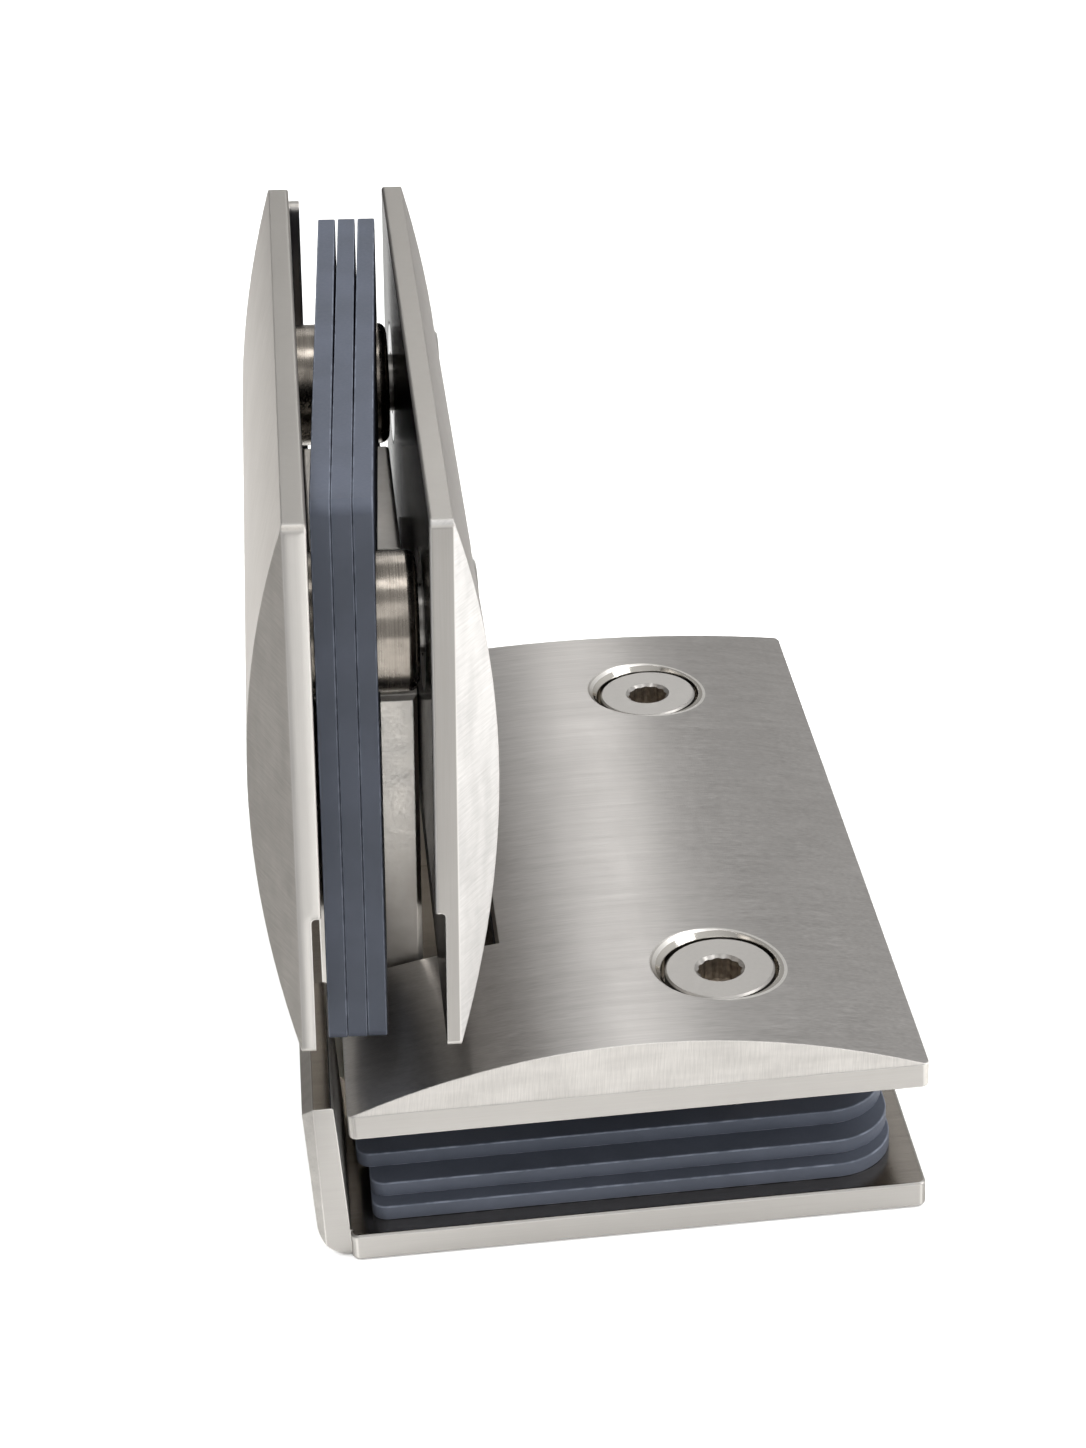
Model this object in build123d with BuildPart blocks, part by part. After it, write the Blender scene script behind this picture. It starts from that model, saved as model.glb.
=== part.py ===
from build123d import *
import math
import os

os.makedirs("parts", exist_ok=True)

# A glass door hinge that joins two panes at a corner. A fixed clamp lies along +X and a door clamp
# stands up from it, turning about a pin that runs along Y. The origin is on the flat outer face of
# the fixed clamp, under the middle of the pin.

# Plates
plate_length = 90.0
corner_radius = 0.8
edge_round = 0.3
door_angle = 87.1

# Fixed clamp, across the pin
fixed_gap = 10.9
fixed_inner_start = -3.0
fixed_inner_end = 51.2
fixed_inner_edge = 2.55
fixed_inner_rise = 3.4
flange_start = -3.7
flange_end = 51.0
flange_thickness = 2.75

# Upstand on the fixed outer plate
upstand_setback = 1.1
upstand_thickness = 3.0
upstand_height = 8.5
upstand_lean = 2.0
upstand_corner = 3.2
upstand_chamfer = 1.1

# Door clamp, away from the pin
door_gap = 10.1
door_plate_start = 15.1
door_plate_end = 67.4
door_plate_edge = 2.1
door_plate_rise = 3.9
relief_height = 14.2
relief_depth = 0.9
relief_round = 0.4
lip_height = 1.1
lip_thickness = 1.6
lip_inset = 1.2
lip_top_drop = 1.0

# Ground bevel at both ends of a domed plate: how far it runs in for each millimetre up
bevel_run = 0.8
seam = 0.4
cut_beyond = 1.0

# Clamp screws and the bosses they pull on
screw_inset = 15.9
fixed_screw_place = 33.8
door_screw_place = 50.7
boss_radius = 6.4
boss_short = 0.4
boss_round = 1.0
screw_radius = 3.0
screw_clearance = 0.3
thread_clearance = 0.02
small_socket = 1.25
small_socket_depth = 1.5
thread_depth = 8.0
screw_engagement = 7.4
head_radius = 5.35
head_thickness = 2.2
head_drop = 0.5
head_chamfer = 0.2
recess_gap = 0.4
recess_chamfer = 0.6
socket_across = 4.0
socket_depth = 3.0
socket_chamfer = 0.35

# Pads between plate and glass
fixed_pad_thickness = 1.55
door_pad_thickness = 1.8
fixed_pad_end = 48.8
fixed_pad_starts = [-1.5, -1.5, -2.6]
fixed_pad_insets = [2.1, 3.7, 6.4]
fixed_pad_corner = 6.0
door_pad_start = 11.75
door_pad_end = 66.3
door_pad_inset = 6.8
door_pad_corner = 1.2
pad_small_corner = 1.5
pad_hole_gap = 0.5
pad_seat_gap = 0.3
pad_stack_skew = 2.75
pad_gap_front = 0.03
pad_gap_rear = 0.3

# Pivot block on the door clamp
block_side_gap = 0.1
block_width = 42.0
block_top = 38.8
block_chamfer = 0.45
tongue_width = 25.0
tongue_top = 50.3
tongue_step = 0.9
cutout_gap = 0.7
cutout_reach = 13.0
block_screw_places = [22.0, 34.0]
block_screw_spread = 30.0
block_screw_radius = 2.0
block_screw_head = 4.0
block_screw_bite = 2.4

# Pin, its bushes and its two bearers
pin_radius = 3.0
pin_flat = 2.4
pin_flat_length = 17.0
pin_clearance = 0.03
pin_end_setback = 0.5
bush_wall = 0.8
bush_length = 11.5
washer_thickness = 1.0
washer_gap = 0.1
washer_radius = 4.7
bearer_length = 6.5
bearer_start = -3.0
bearer_end = 12.6
bearer_gap = 0.1
bearer_screw_place = 8.2
bearer_screw_bite = 2.0
bearer_screw_head = 3.6
grub_radius = 2.0
grub_flat = 2.5
grub_socket = 1.0

# Spring that holds the door square to the fixed glass
spring_thickness = 0.7
spring_width = 14.0
spring_top = 19.0
spring_reach = 1.5
spring_gap = 0.02
pocket_gap = 0.5
cover_thickness = 1.2
cover_ledge = 1.5
cover_gap = 0.05

half_length = plate_length / 2
screw_pitch = plate_length - 2 * screw_inset
fixed_face = fixed_gap / 2
door_face = door_gap / 2
pin_height = flange_thickness + fixed_face
block_half = door_face - block_side_gap
bearer_near_end = block_width / 2 + washer_thickness + 2 * washer_gap
bearer_far_end = bearer_near_end + bearer_length
pad_notch_half = bearer_far_end + pad_hole_gap
pad_hole_radius = boss_radius + pad_hole_gap

# In each clamp's frame local x runs away from the pin along the glass, y along the pin, and z from
# the middle of the glass towards the plate that the screws are put in from
lean = math.radians(90 - door_angle)
pin_centre = (0, 0, pin_height)
fixed_frame = Plane(origin=pin_centre, x_dir=(1, 0, 0), z_dir=(0, 0, 1))
door_frame = Plane(
    origin=pin_centre,
    x_dir=(math.sin(lean), 0, math.cos(lean)),
    z_dir=(math.cos(lean), 0, -math.sin(lean)),
)


def across(frame, half_width):
    """Plane across the pin at one end of a piece: local x runs along the glass, y through it."""
    start = frame.origin + frame.y_dir * half_width
    return Plane(origin=start, x_dir=frame.x_dir, z_dir=-frame.y_dir)


def along(frame, distance):
    """Plane that looks away from the pin: local x runs along the pin, y through the glass."""
    start = frame.origin + frame.x_dir * distance
    return Plane(origin=start, x_dir=frame.y_dir, z_dir=frame.x_dir)


def dome_height(distance, start, end, rise):
    """How far a domed face stands above its edges at one distance from the pin."""
    half = (end - start) / 2
    radius = (half**2 + rise**2) / (2 * rise)
    offset = distance - (start + end) / 2
    return math.sqrt(radius**2 - offset**2) - (radius - rise)


def finish(name, part):
    part.label = name
    export_step(part, f"parts/{name}.step")


# Plates with a domed outer face, a flat edge strip all round and ground bevels at both ends
def domed_plate(frame, side, face, start, end, edge, rise):
    low = side * face
    rim = side * (face + edge)
    crown = side * (face + edge + rise)
    beyond = side * (face + edge + rise + cut_beyond)
    with BuildPart() as plate:
        with BuildSketch(across(frame, half_length)):
            with BuildLine():
                Line((start, rim), (start, low))
                Line((start, low), (end, low))
                Line((end, low), (end, rim))
                ThreePointArc((end, rim), ((start + end) / 2, crown), (start, rim))
            make_face()
        extrude(amount=plate_length)
        fillet(plate.edges().filter_by(lambda edge: abs(edge.tangent_at(0.5).dot(frame.z_dir)) > 0.99),
               corner_radius)
        with BuildSketch(along(frame, start)):
            with BuildLine():
                Polyline(
                    (half_length, rim),
                    (half_length, beyond),
                    (half_length - bevel_run * (rise + cut_beyond), beyond),
                    (half_length, rim),
                )
            make_face()
            mirror(about=Plane.YZ)
        extrude(amount=end - start, mode=Mode.SUBTRACT)
        outer_to_inner = Axis(frame.origin, -side * frame.z_dir)
        end_edges = plate.edges().filter_by(GeomType.LINE).filter_by(
            lambda edge: edge.length > (end - start) / 2 and abs(edge.tangent_at(0.5).Y) < 0.1)
        fillet(end_edges.group_by(outer_to_inner)[0], edge_round)
        fillet(plate.faces().sort_by(outer_to_inner)[-1].edges(), edge_round)
    return plate.part


# Counterbored recesses for the two clamp screws, with a polished chamfer at the rim
def screw_recesses(frame, place, rim):
    floor = rim - head_drop - head_thickness
    recess_radius = head_radius + recess_gap
    with BuildPart() as recesses:
        with BuildSketch(frame.offset(floor)):
            with Locations((place, 0)):
                with GridLocations(0, screw_pitch, 1, 2):
                    Circle(recess_radius)
        extrude(amount=rim - floor + cut_beyond)
        with BuildSketch(frame):
            with Locations((place, 0)):
                with GridLocations(0, screw_pitch, 1, 2):
                    Circle(screw_radius + screw_clearance)
        extrude(amount=rim)
        with Locations(frame.offset(rim - recess_chamfer)):
            with Locations((place, 0)):
                with GridLocations(0, screw_pitch, 1, 2):
                    Cone(
                        recess_radius,
                        recess_radius + 2 * recess_chamfer,
                        2 * recess_chamfer,
                        align=(Align.CENTER, Align.CENTER, Align.MIN),
                    )
    return recesses.part


fixed_rim = fixed_face + fixed_inner_edge + dome_height(
    fixed_screw_place, fixed_inner_start, fixed_inner_end, fixed_inner_rise
)
door_rim = door_face + door_plate_edge + dome_height(
    door_screw_place, door_plate_start, door_plate_end, door_plate_rise
)

# Fixed inner plate: the domed plate with the screws, cut out where the pivot block comes through
with BuildPart() as fixed_inner_plate:
    add(domed_plate(fixed_frame, 1, fixed_face, fixed_inner_start, fixed_inner_end,
                    fixed_inner_edge, fixed_inner_rise))
    add(screw_recesses(fixed_frame, fixed_screw_place, fixed_rim), mode=Mode.SUBTRACT)
    with BuildSketch(fixed_frame):
        with Locations((fixed_inner_start, 0)):
            Rectangle(
                2 * (cutout_reach - fixed_inner_start),
                block_width + 2 * cutout_gap,
            )
    extrude(amount=fixed_rim + fixed_inner_rise, mode=Mode.SUBTRACT)
finish("fixed_inner_plate", fixed_inner_plate.part)

# Fixed outer plate: a flat flange under the glass and an upstand behind it, bent from one piece
with BuildPart() as fixed_outer_plate:
    with BuildSketch(fixed_frame.offset(-pin_height)):
        with Locations(((flange_start + flange_end) / 2, 0)):
            Rectangle(flange_end - flange_start, plate_length)
    extrude(amount=flange_thickness)
    fillet(fixed_outer_plate.edges().filter_by(Axis.Z), corner_radius)
    fillet(fixed_outer_plate.faces().filter_by(Axis.Z).edges(), edge_round)
    upstand_shift = math.tan(math.radians(upstand_lean)) * (upstand_height + fixed_face)
    with BuildSketch(across(fixed_frame, half_length - upstand_setback)) as upstand_section:
        with BuildLine():
            Polyline(
                (flange_start + upstand_thickness, -pin_height),
                (flange_start - upstand_thickness, -pin_height),
                (flange_start - upstand_thickness - upstand_shift, upstand_height),
                (flange_start - upstand_shift, upstand_height),
                (flange_start, -fixed_face),
                (flange_start + upstand_thickness, -fixed_face),
                (flange_start + upstand_thickness, -pin_height),
            )
        make_face()
        chamfer(upstand_section.vertices().group_by(Axis.Y)[-1].sort_by(Axis.X)[0], upstand_chamfer)
        fillet(upstand_section.vertices().group_by(Axis.Y)[-1].sort_by(Axis.X)[-1], edge_round)
        fillet(upstand_section.vertices().sort_by(Axis.Y)[:2].sort_by(Axis.X)[0], upstand_corner)
    extrude(amount=plate_length - 2 * upstand_setback)
    chamfer_edge = flange_start - upstand_thickness - upstand_shift + upstand_chamfer
    chamfer_end = half_length - upstand_setback
    with BuildSketch(fixed_frame.offset(-pin_height)):
        with BuildLine():
            Polyline(
                (chamfer_edge, chamfer_end),
                (chamfer_edge - upstand_thickness, chamfer_end),
                (chamfer_edge - upstand_thickness, chamfer_end - upstand_thickness),
                (chamfer_edge, chamfer_end),
            )
        make_face()
        mirror(about=Plane.XZ)
    extrude(amount=pin_height + upstand_height, mode=Mode.SUBTRACT)
    with BuildSketch(fixed_frame.offset(-fixed_face)):
        with Locations((flange_start, 0)):
            Rectangle(4 * upstand_thickness, 2 * bearer_near_end)
    extrude(amount=fixed_face + upstand_height, mode=Mode.SUBTRACT)
    with BuildSketch(fixed_frame.offset(-fixed_face)):
        with Locations((bearer_screw_place, 0)):
            with GridLocations(0, bearer_near_end + bearer_far_end, 1, 2):
                Circle(block_screw_radius + thread_clearance)
    extrude(amount=-bearer_screw_bite - seam, mode=Mode.SUBTRACT)
finish("fixed_outer_plate", fixed_outer_plate.part)


# Door plates: both domed and relieved on the inside near the pin
def door_plate(side):
    with BuildPart() as plate:
        add(domed_plate(door_frame, side, door_face, door_plate_start, door_plate_end,
                        door_plate_edge, door_plate_rise))
        with BuildSketch(across(door_frame, half_length)) as relief:
            with Locations((door_plate_start, side * door_face)):
                Rectangle(2 * relief_height, 2 * relief_depth)
            fillet(relief.vertices(), relief_round)
        extrude(amount=plate_length, mode=Mode.SUBTRACT)
    return plate.part


# Door inner plate: it carries the two clamp screws
with BuildPart() as door_inner_plate:
    add(door_plate(1))
    add(screw_recesses(door_frame, door_screw_place, door_rim), mode=Mode.SUBTRACT)
finish("door_inner_plate", door_inner_plate.part)

# Door outer plate: unbroken outside, with tapped holes for the pivot block and a lip at one end
with BuildPart() as door_outer_plate:
    add(door_plate(-1))
    with BuildSketch(door_frame.offset(-door_face)):
        with Locations(((door_plate_start + relief_height + door_plate_end - lip_top_drop) / 2,
                        -half_length + lip_inset + lip_thickness / 2)):
            RectangleRounded(
                door_plate_end - lip_top_drop - door_plate_start - relief_height,
                lip_thickness,
                lip_thickness / 3,
            )
    extrude(amount=lip_height)
    with BuildSketch(door_frame.offset(-door_face - relief_depth)):
        for place in block_screw_places:
            with Locations((place, 0)):
                with GridLocations(0, block_screw_spread, 1, 2):
                    Circle(block_screw_radius + thread_clearance)
    extrude(amount=relief_depth, mode=Mode.SUBTRACT)
    with BuildSketch(door_frame.offset(-door_face)):
        for place in block_screw_places:
            with Locations((place, 0)):
                with GridLocations(0, block_screw_spread, 1, 2):
                    Circle(block_screw_radius + thread_clearance)
    extrude(amount=-block_screw_bite - seam, mode=Mode.SUBTRACT)
finish("door_outer_plate", door_outer_plate.part)


# Bosses: turned standoffs on the outer plates, tapped for the clamp screws
def boss(frame, face, place, end):
    top = face - boss_short
    with BuildPart() as turned:
        with BuildSketch(frame.offset(-face)):
            with Locations((place, end * screw_pitch / 2)):
                Circle(boss_radius)
        extrude(amount=top + face)
        top_face = turned.faces().sort_by(Axis(frame.origin, frame.z_dir))[-1]
        fillet(top_face.edges(), boss_round)
        with BuildSketch(frame.offset(top)):
            with Locations((place, end * screw_pitch / 2)):
                Circle(screw_radius + thread_clearance)
        extrude(amount=-thread_depth, mode=Mode.SUBTRACT)
    return turned.part


# Clamp screws: flat thin heads with a hexagon socket, let into the domed plates
def clamp_screw(frame, face, place, end, rim):
    head_top = rim - head_drop
    shank_end = face - boss_short - screw_engagement
    with BuildPart() as screw:
        with BuildSketch(frame.offset(shank_end)):
            with Locations((place, end * screw_pitch / 2)):
                Circle(screw_radius)
        extrude(amount=head_top - head_thickness - shank_end)
        with BuildSketch(frame.offset(head_top - head_thickness)):
            with Locations((place, end * screw_pitch / 2)):
                Circle(head_radius)
        extrude(amount=head_thickness)
        head_face = screw.faces().sort_by(Axis(frame.origin, frame.z_dir))[-1]
        chamfer(head_face.edges(), head_chamfer)
        with BuildSketch(frame.offset(head_top)):
            with Locations((place, end * screw_pitch / 2)):
                RegularPolygon(socket_across / 2, 6, major_radius=False)
        extrude(amount=-socket_depth, mode=Mode.SUBTRACT)
        with Locations(frame.offset(head_top)):
            with Locations((place, end * screw_pitch / 2)):
                Cone(
                    socket_across / 2,
                    socket_across / 2 + 2 * socket_chamfer,
                    2 * socket_chamfer,
                    mode=Mode.SUBTRACT,
                )
    return screw.part


for row, row_frame, row_face, row_place, row_rim in (
    ("fixed", fixed_frame, fixed_face, fixed_screw_place, fixed_rim),
    ("door", door_frame, door_face, door_screw_place, door_rim),
):
    for end_name, world_end in (("front", -1), ("rear", 1)):
        end_sign = world_end * row_frame.y_dir.Y
        finish(f"{row}_boss_{end_name}", boss(row_frame, row_face, row_place, end_sign))
        finish(
            f"{row}_screw_{end_name}",
            clamp_screw(row_frame, row_face, row_place, end_sign, row_rim),
        )


# Fixed pads: sheets laid on the flange, open round the pivot and holed for the bosses
def fixed_pad(number):
    start = fixed_pad_starts[number]
    half = half_length - fixed_pad_insets[number]
    notch_reach = cutout_reach + pad_hole_gap
    with BuildPart() as pad:
        with BuildSketch(fixed_frame.offset(-fixed_face + number * fixed_pad_thickness)) as outline:
            with BuildLine():
                Polyline(
                    (start, half),
                    (fixed_pad_end, half),
                    (fixed_pad_end, -half),
                    (start, -half),
                    (start, -pad_notch_half),
                    (notch_reach, -pad_notch_half),
                    (notch_reach, pad_notch_half),
                    (start, pad_notch_half),
                    (start, half),
                )
            make_face()
            fillet(outline.vertices().group_by(Axis.X)[-1], fixed_pad_corner)
            fillet(outline.vertices().group_by(Axis.X)[0], pad_small_corner)
            with Locations((fixed_screw_place, 0)):
                with GridLocations(0, screw_pitch, 1, 2):
                    Circle(pad_hole_radius, mode=Mode.SUBTRACT)
        extrude(amount=fixed_pad_thickness)
    return pad.part


for pad_number in range(3):
    finish(f"fixed_pad_{pad_number + 1}", fixed_pad(pad_number))


# Door pads: the same sheets for the door, loose in the clamp and a little fanned out to the rear
def door_pad(number):
    pad_half = half_length - door_pad_inset
    front = -door_face + pad_seat_gap + number * (door_pad_thickness + pad_gap_front)
    rear = -door_face + pad_seat_gap + pad_stack_skew + number * (door_pad_thickness + pad_gap_rear)
    skew = math.atan2(rear - front, 2 * pad_half)
    middle = door_frame.origin + door_frame.z_dir * ((front + rear) / 2)
    sheet = Plane(
        origin=middle,
        x_dir=door_frame.x_dir,
        z_dir=door_frame.z_dir * math.cos(skew) + door_frame.y_dir * math.sin(skew),
    )
    notch_half = block_width / 2 + pad_hole_gap
    tongue_half = tongue_width / 2 + pad_hole_gap
    shoulder = block_top + pad_hole_gap
    peak = tongue_top + pad_hole_gap
    with BuildPart() as pad:
        with BuildSketch(sheet) as outline:
            with BuildLine():
                Polyline(
                    (door_pad_start, pad_half),
                    (door_pad_end, pad_half),
                    (door_pad_end, -pad_half),
                    (door_pad_start, -pad_half),
                    (door_pad_start, -notch_half),
                    (shoulder, -notch_half),
                    (shoulder, -tongue_half),
                    (peak, -tongue_half),
                    (peak, tongue_half),
                    (shoulder, tongue_half),
                    (shoulder, notch_half),
                    (door_pad_start, notch_half),
                    (door_pad_start, pad_half),
                )
            make_face()
            corner_groups = outline.vertices().group_by(Axis.X)
            fillet(corner_groups[-1] + corner_groups[0], door_pad_corner)
            with Locations((door_screw_place, 0)):
                with GridLocations(0, screw_pitch, 1, 2):
                    Circle(pad_hole_radius, mode=Mode.SUBTRACT)
        extrude(amount=door_pad_thickness)
    return pad.part


for pad_number in range(3):
    finish(f"door_pad_{pad_number + 1}", door_pad(pad_number))

# Pivot block: it joins the door clamp to the pin, with a tongue between the bosses
spring_out = pin_flat + spring_gap + spring_thickness
pocket_half = spring_out + pocket_gap
pocket_half_width = spring_width / 2 + pocket_gap
pocket_top = spring_top + pocket_gap
pocket_bottom = spring_reach + pocket_gap
bush_radius = pin_radius + pin_clearance + bush_wall
with BuildPart() as pivot_block:
    with BuildSketch(across(door_frame, block_width / 2)):
        with BuildLine():
            Line((0, -block_half), (block_top, -block_half))
            Line((block_top, -block_half), (block_top, block_half))
            Line((block_top, block_half), (0, block_half))
            ThreePointArc((0, block_half), (-block_half, 0), (0, -block_half))
        make_face()
    extrude(amount=block_width)
    chamfer(pivot_block.faces().filter_by(Axis.Y).edges(), block_chamfer)
    with BuildSketch(across(door_frame, tongue_width / 2)) as tongue_section:
        with Locations(((block_top + tongue_top) / 2 - block_chamfer, -tongue_step / 2)):
            Rectangle(
                tongue_top - block_top + 2 * block_chamfer,
                2 * block_half - tongue_step,
            )
        fillet(tongue_section.vertices().group_by(Axis.X)[-1], block_chamfer)
    extrude(amount=tongue_width)
    with BuildSketch(across(door_frame, block_width / 2)):
        Circle(bush_radius + thread_clearance)
    extrude(amount=block_width, mode=Mode.SUBTRACT)
    with BuildSketch(door_frame.offset(-pocket_half)):
        with Locations(((pocket_top - pocket_bottom) / 2, 0)):
            Rectangle(pocket_top + pocket_bottom, 2 * pocket_half_width)
    extrude(amount=pocket_half + block_half, mode=Mode.SUBTRACT)
    with BuildSketch(door_frame.offset(block_half - cover_thickness)):
        with Locations(((pin_radius + pocket_top + 2 * cover_ledge) / 2, 0)):
            Rectangle(
                pocket_top - pin_radius + 2 * cover_ledge,
                2 * (pocket_half_width + cover_ledge),
            )
    extrude(amount=cover_thickness, mode=Mode.SUBTRACT)
    with Locations(door_frame.offset(block_half)):
        for place in block_screw_places:
            with Locations((place, 0)):
                with GridLocations(0, block_screw_spread, 1, 2):
                    CounterSinkHole(
                        block_screw_radius + screw_clearance,
                        block_screw_head + screw_clearance,
                    )
finish("pivot_block", pivot_block.part)

# Cover over the spring pocket, trapped by the door inner plate
with BuildPart() as spring_cover:
    with BuildSketch(door_frame.offset(block_half - cover_thickness)):
        with Locations(((pin_radius + pocket_top + 2 * cover_ledge) / 2, 0)):
            Rectangle(
                pocket_top - pin_radius + 2 * cover_ledge - 2 * cover_gap,
                2 * (pocket_half_width + cover_ledge - cover_gap),
            )
    extrude(amount=cover_thickness)
finish("spring_cover", spring_cover.part)


# Countersunk screws with hexagon sockets
def countersunk_screw(plane, radius, head, length):
    with BuildPart() as screw:
        with BuildSketch(plane):
            Circle(radius)
        extrude(amount=-length)
        with Locations(plane):
            Cone(radius, head, head - radius, align=(Align.CENTER, Align.CENTER, Align.MAX))
        with BuildSketch(plane):
            RegularPolygon(small_socket, 6, major_radius=False)
        extrude(amount=-small_socket_depth, mode=Mode.SUBTRACT)
    return screw.part


# Four screws that hold the pivot block on the door outer plate
block_screw_length = block_half + door_face + block_screw_bite
for screw_number in range(4):
    screw_place = block_screw_places[screw_number // 2]
    screw_end = (screw_number % 2 - 0.5) * block_screw_spread
    screw_plane = door_frame.offset(block_half)
    screw_plane.origin += door_frame.x_dir * screw_place + door_frame.y_dir * screw_end
    finish(
        f"block_screw_{screw_number + 1}",
        countersunk_screw(screw_plane, block_screw_radius, block_screw_head, block_screw_length),
    )

# Pivot pin: flats in the middle for the spring and one at each end for its grub screw
pin_length = 2 * (bearer_far_end - pin_end_setback)
with BuildPart() as pivot_pin:
    with BuildSketch(across(door_frame, pin_length / 2)):
        Circle(pin_radius)
    extrude(amount=pin_length)
    chamfer(pivot_pin.faces().filter_by(Axis.Y).edges(), seam)
    for side in (-1, 1):
        with BuildSketch(across(door_frame, pin_flat_length / 2)):
            with Locations((0, side * (pin_flat + pin_radius / 2))):
                Rectangle(2 * pin_radius, pin_radius)
        extrude(amount=pin_flat_length, mode=Mode.SUBTRACT)
        with BuildSketch(across(fixed_frame, side * (bearer_near_end + bearer_far_end) / 2)):
            with Locations((0, grub_flat + pin_radius / 2)):
                Rectangle(2 * pin_radius, pin_radius)
        extrude(amount=grub_radius + pin_clearance, both=True, mode=Mode.SUBTRACT)
finish("pivot_pin", pivot_pin.part)

# Spring clip: a strip bent round the pin's flats, which parts over the round of the pin
with BuildPart() as detent_spring:
    leg = pin_flat + spring_gap
    bend = spring_top - spring_out
    with BuildSketch(across(door_frame, spring_width / 2)):
        with BuildLine():
            Polyline((-spring_reach, leg), (bend, leg))
            ThreePointArc((bend, leg), (bend + leg, 0), (bend, -leg))
            Polyline((bend, -leg), (-spring_reach, -leg), (-spring_reach, -spring_out),
                     (bend, -spring_out))
            ThreePointArc((bend, -spring_out), (bend + spring_out, 0), (bend, spring_out))
            Polyline((bend, spring_out), (-spring_reach, spring_out), (-spring_reach, leg))
        make_face()
    extrude(amount=spring_width)
finish("detent_spring", detent_spring.part)

# Bushes, thrust washers, bearers and their screws, one of each at either end of the pin
for end_name, end_sign in (("front", -1), ("rear", 1)):
    with BuildPart() as bush:
        with BuildSketch(across(fixed_frame, end_sign * block_width / 2)):
            Circle(bush_radius)
            Circle(pin_radius + pin_clearance, mode=Mode.SUBTRACT)
        extrude(amount=end_sign * bush_length)
    finish(f"bush_{end_name}", bush.part)

    with BuildPart() as washer:
        with BuildSketch(across(fixed_frame, end_sign * (block_width / 2 + washer_gap))):
            Circle(washer_radius)
            Circle(pin_radius + pin_clearance, mode=Mode.SUBTRACT)
        extrude(amount=-end_sign * washer_thickness)
    finish(f"thrust_washer_{end_name}", washer.part)

    bearer_middle = end_sign * (bearer_near_end + bearer_far_end) / 2
    bearer_top = fixed_face - bearer_gap
    with BuildPart() as bearer:
        with BuildSketch(fixed_frame.offset(-fixed_face)):
            with Locations(((bearer_start + bearer_end) / 2, bearer_middle)):
                Rectangle(bearer_end - bearer_start, bearer_length)
        extrude(amount=fixed_face + bearer_top)
        chamfer(bearer.edges().filter_by(Axis.Z), seam)
        with BuildSketch(across(fixed_frame, end_sign * bearer_far_end)):
            Circle(pin_radius + thread_clearance)
        extrude(amount=end_sign * bearer_length, mode=Mode.SUBTRACT)
        with BuildSketch(fixed_frame.offset(bearer_top)):
            with Locations((0, bearer_middle)):
                Circle(grub_radius + thread_clearance)
        extrude(amount=-bearer_top, mode=Mode.SUBTRACT)
        with Locations(fixed_frame.offset(bearer_top)):
            with Locations((bearer_screw_place, bearer_middle)):
                CounterSinkHole(
                    block_screw_radius + screw_clearance,
                    bearer_screw_head + screw_clearance,
                )
    finish(f"pin_bearer_{end_name}", bearer.part)

    bearer_plane = fixed_frame.offset(bearer_top)
    bearer_plane.origin += fixed_frame.x_dir * bearer_screw_place
    bearer_plane.origin += fixed_frame.y_dir * bearer_middle
    bearer_screw_length = bearer_top + fixed_face + bearer_screw_bite
    finish(
        f"bearer_screw_{end_name}",
        countersunk_screw(bearer_plane, block_screw_radius, bearer_screw_head, bearer_screw_length),
    )

    with BuildPart() as grub_screw:
        with BuildSketch(fixed_frame.offset(grub_flat)):
            with Locations((0, bearer_middle)):
                Circle(grub_radius)
        extrude(amount=bearer_top - grub_flat)
        with BuildSketch(fixed_frame.offset(bearer_top)):
            with Locations((0, bearer_middle)):
                RegularPolygon(grub_socket, 6, major_radius=False)
        extrude(amount=-small_socket_depth, mode=Mode.SUBTRACT)
    finish(f"grub_screw_{end_name}", grub_screw.part)
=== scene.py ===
import math

import bmesh
import bpy
from mathutils import Matrix, Vector


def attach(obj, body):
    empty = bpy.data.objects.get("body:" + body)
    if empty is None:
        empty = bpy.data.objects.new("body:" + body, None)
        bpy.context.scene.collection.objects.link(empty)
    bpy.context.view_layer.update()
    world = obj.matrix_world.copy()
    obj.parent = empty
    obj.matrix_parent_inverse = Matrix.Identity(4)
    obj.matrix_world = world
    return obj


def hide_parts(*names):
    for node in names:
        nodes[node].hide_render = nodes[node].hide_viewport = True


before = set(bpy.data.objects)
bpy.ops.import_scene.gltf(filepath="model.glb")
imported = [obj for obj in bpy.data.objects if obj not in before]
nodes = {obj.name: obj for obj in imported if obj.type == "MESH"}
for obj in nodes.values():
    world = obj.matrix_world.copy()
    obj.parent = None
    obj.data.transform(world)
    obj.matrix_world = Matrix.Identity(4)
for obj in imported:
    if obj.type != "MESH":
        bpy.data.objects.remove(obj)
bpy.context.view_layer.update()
scene = bpy.context.scene

# Camera. It looks down on the near ends of the plates from some 0.28 metres, a little to the left
# and slightly rolled, through a long lens.
camera_data = bpy.data.cameras.new("camera")
camera_data.sensor_width = 36.0
camera_data.lens = 76.56
camera_data.clip_start = 0.01
camera = bpy.data.objects.new("camera", camera_data)
scene.collection.objects.link(camera)
camera_azimuth = math.radians(3.667)
camera_elevation = math.radians(28.005)
camera_roll = math.radians(-3.197)
camera_place = Vector((0.00204, -0.278769, 0.179936))
sight = Vector((
    math.sin(camera_azimuth) * math.cos(camera_elevation),
    math.cos(camera_azimuth) * math.cos(camera_elevation),
    -math.sin(camera_elevation),
))
level = Vector((math.cos(camera_azimuth), -math.sin(camera_azimuth), 0.0))
upright = level.cross(sight)
image_right = level * math.cos(camera_roll) + upright * math.sin(camera_roll)
image_up = upright * math.cos(camera_roll) - level * math.sin(camera_roll)
camera_turn = Matrix((image_right, image_up, -sight)).transposed().to_4x4()
camera.matrix_world = Matrix.Translation(camera_place) @ camera_turn
scene.camera = camera

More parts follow.
